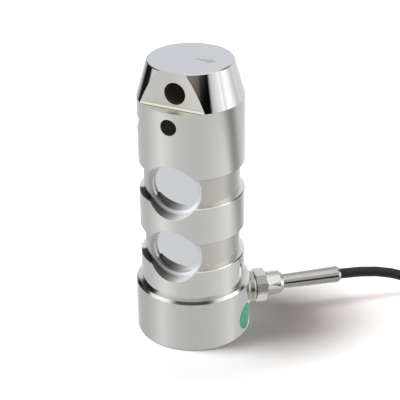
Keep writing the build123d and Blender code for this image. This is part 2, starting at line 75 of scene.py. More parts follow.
camera_data = bpy.data.cameras.new("camera")
camera_data.lens = 112.24
camera_data.sensor_width = 36
camera_data.clip_start = 0.02
camera_data.clip_end = 20
camera = bpy.data.objects.new("camera", camera_data)
scene.collection.objects.link(camera)
camera.matrix_world = Matrix((
    (rolled_right.x, rolled_above.x, back.x, 0),
    (rolled_right.y, rolled_above.y, back.y, 0),
    (rolled_right.z, rolled_above.z, back.z, 0),
    (0, 0, 0, 1),
))
camera.location = right * look_right + Vector((0, 0, look_height)) + back * camera_distance
scene.camera = camera
print("camera at", [round(v / MM, 1) for v in camera.location], "mm")

# %% [markdown]
# ## The gland's direction
# Everything on the cable side lies along one line that leaves the collar at 37.5 degrees to
# the load direction. A point there is easiest to give as a distance outwards from the pin's
# axis, a level distance across, and a height.

# %% Gland line
gland_angle = math.radians(37.5)
gland_height = 15.3
outward = Vector((math.cos(gland_angle), math.sin(gland_angle), 0))
across = Vector((-math.sin(gland_angle), math.cos(gland_angle), 0))


def gland_point(out, level, height):
    """A point near the gland from its distances in millimetres."""
    return (outward * out + across * level + Vector((0, 0, height))) * MM


print("the gland points along", [round(v, 3) for v in outward])

# %% [markdown]
# ## The cable's free run
# The pin is sold with three metres of four-core cable. A short run leaves the sleeve, sinks
# to the floor and goes on into a coil beside the pin. The whole cable is one NURBS curve, and
# its first control points are the corners of the CAD cable's route. They are listed one by
# one, because a cable that hangs free follows no formula.

# %% Cable route
cable_radius = 2.6
cable_diameter = 2 * cable_radius
sleeve_end = 76.0
floor_out = sleeve_end + 55.0
floor_level = -12.0
coil_heading = math.radians(40)
last_run = 34.2
coil_entry = (
    floor_out + last_run * math.cos(coil_heading),
    floor_level - last_run * math.sin(coil_heading),
)
cable_points = [
    gland_point(sleeve_end, 0, gland_height),
    gland_point(sleeve_end + 17.5, 0, gland_height),
    gland_point(sleeve_end + 38.0, -2.0, 9.0),
    gland_point(floor_out, floor_level, cable_radius),
    gland_point(*coil_entry, cable_radius),
]
print("the cable meets its coil at", [round(v, 1) for v in coil_entry], "mm")

# %% [markdown]
# ## How the coil is wound
# A coil is wound turn beside turn. Each turn steps over by one cable width in a short jog,
# and at the end of a layer the cable climbs onto the next one just before it would meet its
# own last jog. A loop writes down only the places where something changes, each with the
# degrees wound so far, the column and the layer. Between two of them all three change evenly.

# %% Winding keys
full_turn = 360
coil_layers = 4
jogs_in_layer = 3
jog_turn = 40
climb_turn = 30

wind_keys = [(0, 0, 0)]
column = 0
jog_end = full_turn
for layer in range(coil_layers):
    inwards = 1 if layer % 2 == 0 else -1
    for jog in range(jogs_in_layer):
        wind_keys.append((jog_end - jog_turn, column, layer))
        column += inwards
        wind_keys.append((jog_end, column, layer))
        jog_end += full_turn
    if layer < coil_layers - 1:
        climb_end = jog_end - jog_turn
        wind_keys.append((climb_end - climb_turn, column, layer))
        wind_keys.append((climb_end, column, layer + 1))
        jog_end = climb_end - climb_turn + full_turn
last_layer_end = 15 * full_turn + 30
top_layer = 4.05
wind_keys.append((last_layer_end, 0, coil_layers - 1))
wind_keys.append((last_layer_end + jog_turn, 0, top_layer))
print("the coil turns", round(wind_keys[-1][0] / full_turn, 1), "times")

# %% [markdown]
# ## The coil's points
# The keys become control points, one every ten degrees. A NURBS curve of this kind cuts
# inside its control points, so they are set a little further out than the turn itself. The
# cable's last stretch lies across the top of the coil, where its stripped leads end.

# %% Coil turns
coil_outer_turn = 37.8
coil_middle = (
    coil_entry[0] - coil_outer_turn * math.sin(coil_heading),
    coil_entry[1] - coil_outer_turn * math.cos(coil_heading),
)
coil_step = 10
set_further_out = 8 / (6 + 2 * math.cos(math.radians(coil_step)))


def coil_point(turned, column, layer):
    """A point of the coil from the degrees wound clockwise, the column and the layer."""
    angle = math.radians(90 - turned) - coil_heading
    radius = (coil_outer_turn - column * cable_diameter) * set_further_out
    return gland_point(
        coil_middle[0] + radius * math.cos(angle),
        coil_middle[1] + radius * math.sin(angle),
        cable_radius + layer * cable_diameter,
    )


key = 0
for turned in range(coil_step, wind_keys[-1][0] + 1, coil_step):
    while wind_keys[key + 1][0] < turned:
        key += 1
    (start, column_a, layer_a), (end, column_b, layer_b) = wind_keys[key], wind_keys[key + 1]
    share = (turned - start) / (end - start)
    cable_points.append(coil_point(
        turned,
        column_a + (column_b - column_a) * share,
        layer_a + (layer_b - layer_a) * share,
    ))

far_end_height = coil_layers * cable_diameter + cable_radius + 0.3
far_end_corners = ((37.9, -4), (37.0, -14), (33.5, -24), (27.5, -29.6), (20, -30), (10, -30))
for ahead, aside in far_end_corners:
    cable_points.append(gland_point(
        coil_middle[0] + ahead * math.cos(coil_heading) + aside * math.sin(coil_heading),
        coil_middle[1] - ahead * math.sin(coil_heading) + aside * math.cos(coil_heading),
        far_end_height,
    ))
print("cable control points:", len(cable_points), "coil middle:", [round(v, 2) for v in coil_middle])

# %% [markdown]
# ## The cable itself
# A round bevel gives the curve its thickness. It is set as each point's radius, with a bevel
# of one, because Blender widens a curve's box by that radius and would otherwise make it
# metres wide.

# %% Cable
cable_curve = bpy.data.curves.new("cable", "CURVE")
cable_curve.dimensions = "3D"
cable_spline = cable_curve.splines.new("NURBS")
cable_spline.points.add(len(cable_points) - 1)
for point, place in zip(cable_spline.points, cable_points):
    point.co = (*place, 1)
    point.radius = cable_radius * MM
cable_spline.order_u = 3
cable_spline.use_endpoint_u = True
cable_spline.resolution_u = 3
cable_curve.bevel_depth = 1.0
cable_curve.bevel_resolution = 4
cable_curve.use_fill_caps = True
cable = bpy.data.objects.new("cable", cable_curve)
cable.visible_glossy = False
scene.collection.objects.link(cable)
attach(cable, "root")
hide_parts("cable_run", "cable_coil")
lead_names = ["lead_red", "lead_black", "lead_green", "lead_white"]
print("the cable leaves the sleeve at", [round(v / MM, 1) for v in cable_points[0]], "mm")

# %% [markdown]
# ## Node helpers
# The materials and the studio light are built from shader nodes by code. A few small helpers
# keep that readable: they add a node and plug its inputs, do arithmetic and mix colours.

# %% Node helpers


def plug(tree, socket, value):
    """Links another node's output to a socket, or sets the socket to a plain value."""
    if isinstance(value, bpy.types.NodeSocket):
        tree.links.new(value, socket)
    else:
        socket.default_value = value


def add_node(tree, kind, inputs=None, **settings):
    """Adds a node, sets its properties, and plugs the inputs given by name or number."""
    node = tree.nodes.new(kind)
    for name, value in settings.items():
        setattr(node, name, value)
    for name, value in (inputs or {}).items():
        plug(tree, node.inputs[name], value)
    return node


def calculate(tree, operation, *values):
    """The output of a Math node."""
    node = add_node(tree, "ShaderNodeMath", operation=operation)
    for socket, value in zip(node.inputs, values):
        plug(tree, socket, value)
    return node.outputs[0]


def smooth_step(tree, value, low, high):
    """Rises softly from 0 to 1 while the value goes from low to high."""
    node = add_node(
        tree, "ShaderNodeMapRange",
        {"Value": value, "From Min": low, "From Max": high},
        interpolation_type="SMOOTHSTEP",
    )
    return node.outputs["Result"]


def blend_colours(tree, share, first, second):
    """The colour output of a Mix node, whose colour sockets are numbers 6, 7 and 2."""
    node = add_node(
        tree, "ShaderNodeMix", data_type="RGBA", inputs={0: share, 6: first, 7: second}
    )
    return node.outputs[2]


print("node helpers ready")

# %% [markdown]
# ## Where a finish starts
# Most finishes start from the same few values: the place on the piece, a distance, an angle
# or a soft noise. Each gets a helper of its own, and so does the empty material.

# %% Starting values
degrees_in_radian = 180 / math.pi


def length_of(tree, vector):
    """How long a vector is."""
    return add_node(tree, "ShaderNodeVectorMath", {0: vector}, operation="LENGTH").outputs["Value"]


def place_on_piece(tree):
    """The place on the piece in metres, from the piece's own origin."""
    return add_node(tree, "ShaderNodeTexCoord").outputs["Object"]


def soft_noise(tree, place, scale, detail):
    """Noise from 0 to 1 by place; scale is the number of lumps in a metre."""
    return add_node(
        tree, "ShaderNodeTexNoise", {"Vector": place, "Scale": scale, "Detail": detail}
    ).outputs["Fac"]


def angle_between(tree, up, sideways):
    """The angle in degrees whose tangent is up over sideways."""
    return calculate(tree, "MULTIPLY", calculate(tree, "ARCTAN2", up, sideways), degrees_in_radian)


def blank_material(name):
    """A new material with an empty node tree."""
    material = bpy.data.materials.new(name)
    material.use_nodes = True
    material.node_tree.nodes.clear()
    return material


print("a radian has", round(degrees_in_radian, 2), "degrees")

# %% [markdown]
# ## What the steel reflects
# Polished steel has no colour of its own to speak of: it shows the room. A photographer
# stands such a pin on a pale table inside a ring of pale screens, with dark gaps between
# them. The gaps give the crisp black bands on the taper, and the table gives the soft grey
# sheen on the upright walls. Here the world plays that room. Its colour depends only on the
# direction that a reflected ray leaves in: one ramp goes round the table below the horizon,
# a second one round the screens just above it, and a third one round their upper half, which
# the chamfers and the sloping collar edge pick up. Each stop below is a bearing in degrees, a
# display level and a warmth. A ramp holds 32 stops at most.

# %% Studio rings
steel_share = 0.72
display_gamma = 2.2


def ramp_colour(level, warmth):
    """Light that gives steel this display level, 0 to 1; warmth tints it a little."""
    light = level ** display_gamma / steel_share
    green = 1 + 0.4 * warmth if warmth < 0.2 else 1 - 0.1 * warmth
    return (light * (1 + warmth), light * green, light * (1 - warmth), 1)


table_ring = [
    (-180, 0.84, -0.06), (-164, 0.77, -0.05), (-150, 0.72, -0.03), (-132, 0.695, -0.02),
    (-114, 0.695, -0.01), (-98, 0.735, 0.01), (-84, 0.785, 0.01), (-68, 0.84, 0.01),
    (-48, 0.785, 0.02), (-32, 0.735, 0.02), (0, 0.712, 0.02), (26, 0.72, 0.02),
    (48, 0.748, 0.02), (62, 0.775, 0.01), (74, 0.815, 0.01), (86, 0.84, 0.0),
    (98, 0.78, 0.0), (112, 0.745, 0.0), (126, 0.73, 0.0), (140, 0.75, -0.02),
    (152, 0.80, -0.04), (166, 0.88, -0.06), (180, 0.90, -0.07),
]
screen_ring = [
    (-180, 0.80, 0.0), (-148, 0.70, 0.0), (-139, 0.42, 0.0),
    (-134, 0.12, 0.0), (-112, 0.12, 0.0), (-107, 0.75, 0.0), (-90, 0.82, 0.0),
    (-76, 0.98, 0.0), (-60, 0.95, 0.0), (-46, 0.80, 0.01), (-22, 0.60, 0.03),
    (-8, 0.30, 0.50), (17, 0.27, 0.52), (22, 0.06, 0.05), (41, 0.06, 0.0),
    (46, 0.70, 0.0), (51, 0.78, 0.0), (57, 0.84, 0.0), (64, 0.89, 0.0), (70, 0.97, 0.0),
    (75, 0.86, 0.0), (80, 0.96, 0.0), (88, 1.00, 0.0), (96, 0.95, 0.0), (103, 0.85, 0.0),
    (111, 0.74, 0.0), (120, 0.82, 0.0), (128, 0.79, 0.0), (144, 0.79, 0.0),
    (160, 0.84, -0.02), (170, 0.93, -0.03), (180, 0.85, -0.03),
]
upper_ring = [
    (-180, 0.80, -0.06), (-158, 0.80, -0.03), (-150, 0.28, 0.0), (-100, 0.24, 0.0),
    (-92, 0.85, 0.0), (-70, 0.98, 0.0), (-46, 0.82, 0.0), (-20, 0.76, 0.01),
    (14, 0.72, 0.02), (24, 0.66, 0.01), (40, 0.62, 0.01), (48, 0.78, 0.0),
    (64, 0.90, 0.0), (78, 1.06, 0.0), (96, 1.06, 0.0), (104, 0.55, 0.0),
    (110, 0.24, 0.0), (130, 0.26, 0.0), (140, 0.72, 0.0), (156, 0.82, 0.0),
    (180, 0.80, -0.06),
]
print("stops:", len(table_ring), len(screen_ring), len(upper_ring))

# %% [markdown]
# ## Directions in the room
# In a world shader the Generated output is the direction of the ray. It is first turned so
# that a bearing of 0 degrees points from the pin to the photographer. Its bearing and its
# rise above the horizon then follow from the three parts of the direction. A ramp node runs
# from 0 to 1, so a bearing from -180 to 180 degrees is scaled to that.

# %% Room directions
world = bpy.data.worlds.new("studio")
world.use_nodes = True
scene.world = world
room = world.node_tree
room.nodes.clear()

direction = add_node(room, "ShaderNodeTexCoord").outputs["Generated"]
turned_direction = add_node(
    room, "ShaderNodeVectorRotate",
    {"Vector": direction, "Axis": (0, 0, 1), "Angle": math.pi / 2 - camera_turn},
    rotation_type="AXIS_ANGLE",
).outputs["Vector"]
parts = add_node(room, "ShaderNodeSeparateXYZ", {"Vector": turned_direction})
bearing = angle_between(room, parts.outputs["Y"], parts.outputs["X"])
rise = calculate(room, "ARCSINE", parts.outputs["Z"])
rise = calculate(room, "MULTIPLY", rise, degrees_in_radian)
ramp_place = calculate(room, "MULTIPLY_ADD", bearing, 1 / full_turn, 0.5)


def studio_ring(stops):
    """A colour ramp that goes once round the room."""
    ramp = add_node(room, "ShaderNodeValToRGB", {"Fac": ramp_place})
    ramp.color_ramp.interpolation = "LINEAR"
    while len(ramp.color_ramp.elements) < len(stops):
        ramp.color_ramp.elements.new(1.0)
    for element, (angle, level, warmth) in zip(ramp.color_ramp.elements, stops):
        element.position = angle / full_turn + 0.5
        element.color = ramp_colour(level, warmth)
    return ramp.outputs["Color"]


table_light = studio_ring(table_ring)
screen_light = studio_ring(screen_ring)
upper_light = studio_ring(upper_ring)
print("nodes in the room so far:", len(room.nodes))

# %% [markdown]
# ## The rings put together
# The shadow behind the pin shows in its right side as a soft dark stripe that leans over, so
# the stripe's bearing and strength both change with the rise. Then the three rings are laid
# one over the other, each fading into the next over a few degrees, and a pale ceiling closes
# the top.

# %% Stripe and rings
stripe_lean = -7.5
stripe_at_horizon = -89.0
stripe_edge = 32.0
stripe_core = 1.0
strength_gain = 0.08
strength_at_horizon = 2.72

stripe_bearing = calculate(room, "MULTIPLY_ADD", rise, stripe_lean, stripe_at_horizon)
from_stripe = calculate(room, "ABSOLUTE", calculate(room, "SUBTRACT", bearing, stripe_bearing))
stripe_strength = calculate(room, "MULTIPLY_ADD", rise, strength_gain, strength_at_horizon)
stripe = smooth_step(room, from_stripe, stripe_edge, stripe_core)
stripe = calculate(room, "MULTIPLY", stripe, stripe_strength)
ring_light = blend_colours(room, stripe, table_light, (0.10, 0.10, 0.10, 1))

next_rings = (
    (screen_light, -20.0, -12.0),
    (upper_light, 8.0, 15.0),
    ((0.95, 0.95, 0.95, 1), 44.0, 54.0),
)
for next_light, fade_from, fade_to in next_rings:
    next_share = smooth_step(room, rise, fade_from, fade_to)
    ring_light = blend_colours(room, next_share, ring_light, next_light)
print("rings laid above the table:", len(next_rings))

# %% [markdown]
# ## Who sees which light
# Only mirror rays see the rings. Every other surface gets a soft, slightly warm light from
# all sides, so that the label, the cable and the floor don't take on the screens' pattern.
# The camera itself sees plain white, which is the background.

# %% World shader
light_path = add_node(room, "ShaderNodeLightPath")
soft_light = add_node(
    room, "ShaderNodeBackground", {"Color": (1.0, 0.83, 0.73, 1), "Strength": 0.215}
)
mirror_light = add_node(room, "ShaderNodeBackground", {"Color": ring_light, "Strength": 1.0})
white_light = add_node(room, "ShaderNodeBackground", {"Color": (1, 1, 1, 1), "Strength": 1.0})
mirror_share = add_node(
    room, "ShaderNodeMixShader",
    {0: light_path.outputs["Is Glossy Ray"], 1: soft_light.outputs[0], 2: mirror_light.outputs[0]},
)
seen_share = add_node(
    room, "ShaderNodeMixShader",
    {0: light_path.outputs["Is Camera Ray"], 1: mirror_share.outputs[0], 2: white_light.outputs[0]},
)
add_node(room, "ShaderNodeOutputWorld", {"Surface": seen_share.outputs[0]})
print("nodes in the room:", len(room.nodes))

# %% [markdown]
# ## The floor
# The floor is a wide sheet of pale paper. To the camera it also glows, faintly near the pin
# and more further out, which lifts it to white without any more light on the pin, and the
# pin's shadow stays. The steel reflects the room instead, so the floor doesn't show in it.
# Two helpers turn a finished bmesh into an object. The second one serves the pieces of the
# part, which come later.

# %% Floor
glow_near = 0.05
glow_gain = 0.62
glow_from = 45.0
glow_to = 108.0


def add_object(name, shape, material):
    """Turns a finished bmesh into an object that sits at the origin."""
    mesh = bpy.data.meshes.new(name)
    shape.to_mesh(mesh)
    shape.free()
    mesh.materials.append(material)
    thing = bpy.data.objects.new(name, mesh)
    scene.collection.objects.link(thing)
    return thing


def add_piece(name, shape, material):
    """Adds a finished bmesh to the part, on its one body, with the material given."""
    piece = add_object(name, shape, material)
    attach(piece, "root")
    print(name, "has", len(piece.data.polygons), "faces")


floor_paint = blank_material("floor_paint")
floor_tree = floor_paint.node_tree
floor_place = place_on_piece(floor_tree)
floor_grain = soft_noise(floor_tree, floor_place, 40.0, 3.0)
floor_tone = blend_colours(floor_tree, floor_grain, (0.86, 0.86, 0.86, 1), (0.90, 0.90, 0.90, 1))
matt = add_node(floor_tree, "ShaderNodeBsdfDiffuse", {"Color": floor_tone})
further_out = smooth_step(
    floor_tree, length_of(floor_tree, floor_place), glow_from * MM, glow_to * MM
)
glow_share = calculate(floor_tree, "MULTIPLY_ADD", further_out, glow_gain, glow_near)
floor_path = add_node(floor_tree, "ShaderNodeLightPath")
glow_share = calculate(floor_tree, "MULTIPLY", floor_path.outputs["Is Camera Ray"], glow_share)
glow = add_node(
    floor_tree, "ShaderNodeEmission", {"Color": (1, 0.96, 0.94, 1), "Strength": glow_share}
)
both = add_node(floor_tree, "ShaderNodeAddShader", {0: matt.outputs[0], 1: glow.outputs[0]})
add_node(floor_tree, "ShaderNodeOutputMaterial", {"Surface": both.outputs[0]})

floor_shape = bmesh.new()
bmesh.ops.create_grid(floor_shape, x_segments=1, y_segments=1, size=1.5)
floor = add_object("floor", floor_shape, floor_paint)
floor.visible_glossy = False
print("the floor is", round(floor.dimensions.x, 2), "m wide")

# %% [markdown]
# ## The lamp
# One large soft panel stands high on the left. It gives the shadow and lights the cable and
# the label. Its sizes and places are in metres, and the steel doesn't mirror it.

# %% Lamp
lamp_left = 0.50
lamp_height = 0.86
lamp_aim = Vector((0, 0, 0.04))
lamp_data = bpy.data.lights.new("soft_panel", "AREA")
lamp_data.shape = "RECTANGLE"
lamp_data.size = 0.30
lamp_data.size_y = 0.62
lamp_data.energy = 10.3
lamp_data.color = (0.97, 1.0, 1.02)
lamp = bpy.data.objects.new("soft_panel", lamp_data)
scene.collection.objects.link(lamp)
lamp.location = right * -lamp_left + Vector((0, 0, lamp_height))
lamp.rotation_mode = "QUATERNION"
lamp.rotation_quaternion = (lamp.location - lamp_aim).to_track_quat("Z", "Y")
lamp.visible_glossy = False
print("lamp at", [round(v, 2) for v in lamp.location], "m")

# %% [markdown]
# ## The pin's sizes
# Finishes and surfaces are told apart by where they lie on the pin, so its own sizes are
# given once here, as in the CAD. A hole's place is its level distance from the axis and its
# height.

# %% Sizes of the pin
shank_radius = 25.0
pin_length = 139.8
nose_start = 122.7
nose_radius = 20.05
collar_radius = 27.7
collar_height = 25.9
collar_ledge_radius = 26.65
collar_ledge_height = 27.2
base_chamfer = 0.5
section_heights = {"lower": 49.5, "upper": 82.9}
groove_radius = 22.7
groove_half = 7.2
groove_chamfer = 0.35
pocket_radius = 13.5
seat_radius = 11.6
gauge_cavity_radius = 10.0
cover_ledge = 18.55
nose_hole, nose_hole_radius = (0.8, 129.9), 5.2
dowel_hole, dowel_hole_radius = (0, 115.8), 3.9
flat_turn = math.radians(2.0)
flat_facing = Vector((-math.sin(flat_turn), -math.cos(flat_turn), 0))
flat_offset = 18.95
keeper_slot_offset = 19.0
keeper_slot_ends = (106.8, 113.8)
head_cavity_radius = 16.0
head_cavity_top = 22.8
cap_seat_radius = 23.0
cap_thickness = 5.0
half_way = sum(section_heights.values()) / 2
print("half way between the pockets:", round(half_way, 2), "mm")

# %% [markdown]
# ## Painted shade and reflection by place
# Polished steel also mirrors dark things close by, such as the far rim of its own pocket. A
# world that knows only directions can't show those, so a dark colour painted into the
# material stands in for them: a painted reflection, and in the pockets and on the gland also
# painted shade. Its place is an angle: round the nearer pocket, round the pin, or round the
# gland's line. It begins at one angle, is full at a second, starts to fade at a third and is
# clear at a fourth, and a last number says how strong it is.

# %% Angles for the painted shade


def pocket_angle(tree):
    """The angle round the nearer gauge pocket, in degrees from its right side."""
    place = add_node(tree, "ShaderNodeSeparateXYZ", {0: place_on_piece(tree)})
    is_upper = calculate(tree, "GREATER_THAN", place.outputs["Z"], half_way * MM)
    apart = section_heights["upper"] - section_heights["lower"]
    centre = calculate(tree, "MULTIPLY_ADD", is_upper, apart * MM, section_heights["lower"] * MM)
    height = calculate(tree, "SUBTRACT", place.outputs["Z"], centre)
    return angle_between(tree, height, place.outputs["X"])


def pin_angle(tree):
    """The angle round the pin, in degrees from the camera's side, positive to its right."""
    place = add_node(tree, "ShaderNodeSeparateXYZ", {0: place_on_piece(tree)})
    angle = angle_between(tree, place.outputs["Y"], place.outputs["X"])
    return calculate(tree, "ADD", angle, 90 - math.degrees(camera_turn))


def gland_side_angle(tree):
    """The angle round the gland's line, in degrees from the level side that faces the camera."""
    place = place_on_piece(tree)
    level = add_node(
        tree, "ShaderNodeVectorMath", {0: place, 1: tuple(-across)}, operation="DOT_PRODUCT"
    ).outputs["Value"]
    height = add_node(tree, "ShaderNodeSeparateXYZ", {0: place}).outputs["Z"]
    height = calculate(tree, "SUBTRACT", height, gland_height * MM)
    return angle_between(tree, height, level)


def painted_shade_share(tree, angle, start, full, fading, clear, strength):
    """How much painted shade and reflection lies on the surface at an angle."""
    turned = calculate(tree, "SUBTRACT", angle, start)
    turned = calculate(tree, "FLOORED_MODULO", turned, float(full_turn))
    begins = smooth_step(tree, turned, 0.0, full - start)
    ends = smooth_step(tree, turned, clear - start, fading - start)
    return calculate(tree, "MULTIPLY", calculate(tree, "MULTIPLY", begins, ends), strength)


print("three angles ready for the film")

# %% [markdown]
# ## Metal finishes
# A turned face keeps the fine rings that the tool left. They go round the axis, so they
# change only with the distance along it and away from it: adding the two gives one number,
# and noise of that number makes rings on cylinders, cones and end faces alike. A drawn tube
# has fine lines along it instead, so there the number is the angle round the axis, and a
# milled flat has level scratches, which follow the height alone. The pattern moves the
# roughness a little and tilts the surface a hair. A second, broad noise keeps the tint from
# being perfectly even.

# %% Metal finish
drawn_tube_radius = 4
broad_noise_scale = 90.0


def along_axis(tree, place, axis):
    """Turns the gland's or a pocket's axis upright, so that the pattern goes round it."""
    if axis == "pin":
        return place
    spin_about, turn = (1, 0, 0), math.pi / 2
    if axis == "gland":
        place = add_node(
            tree, "ShaderNodeMapping",
            {"Vector": place, "Location": (0, 0, -gland_height * MM)},
        ).outputs["Vector"]
        spin_about, turn = (-outward.y, outward.x, 0), -math.pi / 2
    return add_node(
        tree, "ShaderNodeVectorRotate",
        {"Vector": place, "Axis": spin_about, "Angle": turn},
        rotation_type="AXIS_ANGLE",
    ).outputs["Vector"]


def pattern_number(tree, place, pattern):
    """The one number that the tool marks follow: for rings, lines or scratches."""
    split = add_node(tree, "ShaderNodeSeparateXYZ", {"Vector": place})
    if pattern == "rings":
        level = add_node(
            tree, "ShaderNodeCombineXYZ", {0: split.outputs[0], 1: split.outputs[1]}
        ).outputs[0]
        return calculate(tree, "ADD", split.outputs["Z"], length_of(tree, level))
    if pattern == "lines":
        angle = calculate(tree, "ARCTAN2", split.outputs["Y"], split.outputs["X"])
        return calculate(tree, "MULTIPLY", angle, drawn_tube_radius * MM)
    return split.outputs["Z"]


def metal_finish(
    name, tint, roughness, pitch=0.35, depth=0.002, uneven=0.04, axis="pin", pattern="rings",
    painted_shade=None,
):
    """Steel with tool marks; pitch and depth in millimetres, painted_shade an angle, limits and the
    colour of painted shade and reflection.
    """
    material = blank_material(name)
    tree = material.node_tree
    place = along_axis(tree, place_on_piece(tree), axis)
    grain = add_node(
        tree, "ShaderNodeTexNoise",
        {"W": pattern_number(tree, place, pattern), "Scale": 1 / (pitch * MM), "Detail": 2.0},
        noise_dimensions="1D",
    ).outputs["Fac"]
    cloud = soft_noise(tree, place, broad_noise_scale, 3.0)
    mottle = calculate(tree, "ADD", cloud, calculate(tree, "MULTIPLY_ADD", grain, 0.8, -0.4))
    darker = tuple(c * (1 - uneven) for c in tint)
    tone = blend_colours(tree, mottle, (*darker, 1), (*tint, 1))
    # Painted shade and reflection: a dark colour blended into the tint by angle.
    if painted_shade:
        angle_of, limits, shade_colour = painted_shade
        share = painted_shade_share(tree, angle_of(tree), *limits)
        tone = blend_colours(tree, share, tone, (*shade_colour, 1))
    rough = calculate(tree, "MULTIPLY_ADD", grain, 0.3 * roughness, 0.85 * roughness)
    bump = add_node(tree, "ShaderNodeBump", {"Height": grain, "Strength": 1.0, "Distance": depth * MM})
    shader = add_node(
        tree, "ShaderNodeBsdfPrincipled",
        {"Base Color": tone, "Metallic": 1.0, "Roughness": rough, "Normal": bump.outputs["Normal"]},
    )
    add_node(tree, "ShaderNodeOutputMaterial", {"Surface": shader.outputs[0]})
    return material


print("metal finish ready")

# %% [markdown]
# ## The steels of the pin
# One bar of steel looks different wherever another tool has passed. The journals are ground
# and the taper is polished, so they are smooth and mirror the room clearly. The grooves and
# the pockets are only turned or milled, so they are rougher. Each surface therefore gets a
# tint and a roughness of its own.

# %% Turned and ground steel
turned_steel = metal_finish("turned_steel", (0.735, 0.735, 0.72), 0.10)
collar_steel = metal_finish("collar_steel", (0.665, 0.665, 0.65), 0.10)
taper_steel = metal_finish("taper_steel", (0.745, 0.745, 0.74), 0.045, depth=0.0006)
face_steel = metal_finish("face_steel", (0.725, 0.725, 0.70), 0.16, depth=0.001)
groove_steel = metal_finish("groove_steel", (0.66, 0.65, 0.605), 0.22)
edge_steel = metal_finish("edge_steel", (0.78, 0.78, 0.77), 0.12)
# Painted shade: the chamfers that face down get a dark tint for the shade under them.
shaded_under_steel = metal_finish("shaded_under_steel", (0.26, 0.26, 0.24), 0.25)
# Painted shade: the holes' walls and ends get a darker tint for the shade inside them.
shaded_bore_steel = metal_finish("shaded_bore_steel", (0.48, 0.46, 0.40), 0.50)
cavity_steel = metal_finish("cavity_steel", (0.62, 0.61, 0.60), 0.25)
shelf_steel = metal_finish("shelf_steel", (0.95, 0.95, 0.80), 0.40, uneven=0.14)
arrow_paint = metal_finish("arrow_paint", (0.52, 0.57, 0.48), 0.30, uneven=0.08)
weld_steel = metal_finish("weld_steel", (0.58, 0.57, 0.49), 0.26, pitch=0.9, uneven=0.15)
print("finishes without the film ready")

# %% [markdown]
# ## Steel with painted shade and reflection
# In each pocket painted shade lies at the lower left of the wall, the seat and the weld, and the
# cover mirrors it. The steps of the grooves and of the collar have a painted reflection at the
# left, where they mirror the wall that rises beside them, and the collar's slope has one in
# front. The nose flat has only a breath of it.

# %% Steel with painted shade
# Painted shade: the lower left of each pocket's wall, seat and weld is darkened by angle.
pocket_painted_shade = (pocket_angle, (206, 213, 240, 296, 0.95), (0.10, 0.095, 0.075))
pocket_steel = metal_finish(
    "pocket_steel", (0.94, 0.91, 0.83), 0.20, axis="pocket", painted_shade=pocket_painted_shade
)
seat_steel = metal_finish("seat_steel", (0.95, 0.96, 0.97), 0.30, axis="pocket", painted_shade=pocket_painted_shade)
pocket_weld = metal_finish(
    "pocket_weld", (0.77, 0.785, 0.84), 0.22, pitch=0.9, uneven=0.15, axis="pocket",
    painted_shade=(pocket_angle, (110, 165, 228, 290, 0.36), (0.05, 0.05, 0.05)),
)
# Painted reflection: the flat, the ledges, the collar's slope and the steps are darkened by angle
# round the pin.
flat_steel = metal_finish(
    "flat_steel", (0.74, 0.74, 0.725), 0.34, pattern="scratches",
    painted_shade=(pin_angle, (-100, -75, -30, 5, 0.15), (0.03, 0.03, 0.03)),
)
ledge_steel = metal_finish(
    "ledge_steel", (0.97, 0.96, 0.90), 0.48,
    painted_shade=(pin_angle, (-90, -84, -56, -45, 0.97), (0.02, 0.02, 0.02)),
)
slope_edge = metal_finish(
    "slope_edge", (0.78, 0.78, 0.77), 0.12,
    painted_shade=(pin_angle, (-27, -15, 12, 27, 0.94), (0.06, 0.06, 0.05)),
)
step_steel = metal_finish(
    "step_steel", (0.76, 0.75, 0.70), 0.36,
    painted_shade=(pin_angle, (-84, -72, -50, -40, 0.92), (0.04, 0.04, 0.03)),
)
pin_finishes = [
    turned_steel, collar_steel, taper_steel, face_steel, flat_steel, shelf_steel,
    groove_steel, pocket_steel, shaded_bore_steel, edge_steel, shaded_under_steel, step_steel,
    arrow_paint, cavity_steel, ledge_steel, slope_edge, seat_steel,
]
print("finishes on the pin:", len(pin_finishes))

# %% [markdown]
# ## Rubber, plastic and film
# The soft and painted pieces share one recipe: a colour that a fine noise lightens here and
# there, a roughness that follows the same noise, and a slight bump. Fine grain suits rubber,
# and a coarser one suits the tape round the cores.

# %% Coated finish
coat_lift = 0.15
coat_depth = 0.02


def coated_finish(name, colour, roughness, grain, second=None):
    """Plastic, rubber or film; grain in millimetres, second the colour of the lighter spots."""
    material = blank_material(name)
    tree = material.node_tree
    noise = soft_noise(tree, place_on_piece(tree), 1 / (grain * MM), 4.0)
    lighter = second or tuple(c * (1 + coat_lift) + 0.02 * coat_lift for c in colour)
    tone = blend_colours(tree, smooth_step(tree, noise, 0.35, 0.65), (*colour, 1), (*lighter, 1))
    rough = calculate(tree, "MULTIPLY_ADD", noise, 0.2, roughness - 0.1)
    bump = add_node(
        tree, "ShaderNodeBump", {"Height": noise, "Strength": 1.0, "Distance": coat_depth * MM}
    )
    shader = add_node(
        tree, "ShaderNodeBsdfPrincipled",
        {"Base Color": tone, "Roughness": rough, "Normal": bump.outputs["Normal"]},
    )
    add_node(tree, "ShaderNodeOutputMaterial", {"Surface": shader.outputs[0]})
    return material


print("coated finish ready")

# %% [markdown]
# ## The pin's own mesh
# The CAD mesh is loose triangles, so a copy is merged before it can be shaded smoothly. An
# edge stays sharp where its two faces meet at more than a small angle. The copy takes the
# CAD node's place later, once its faces have their finishes.

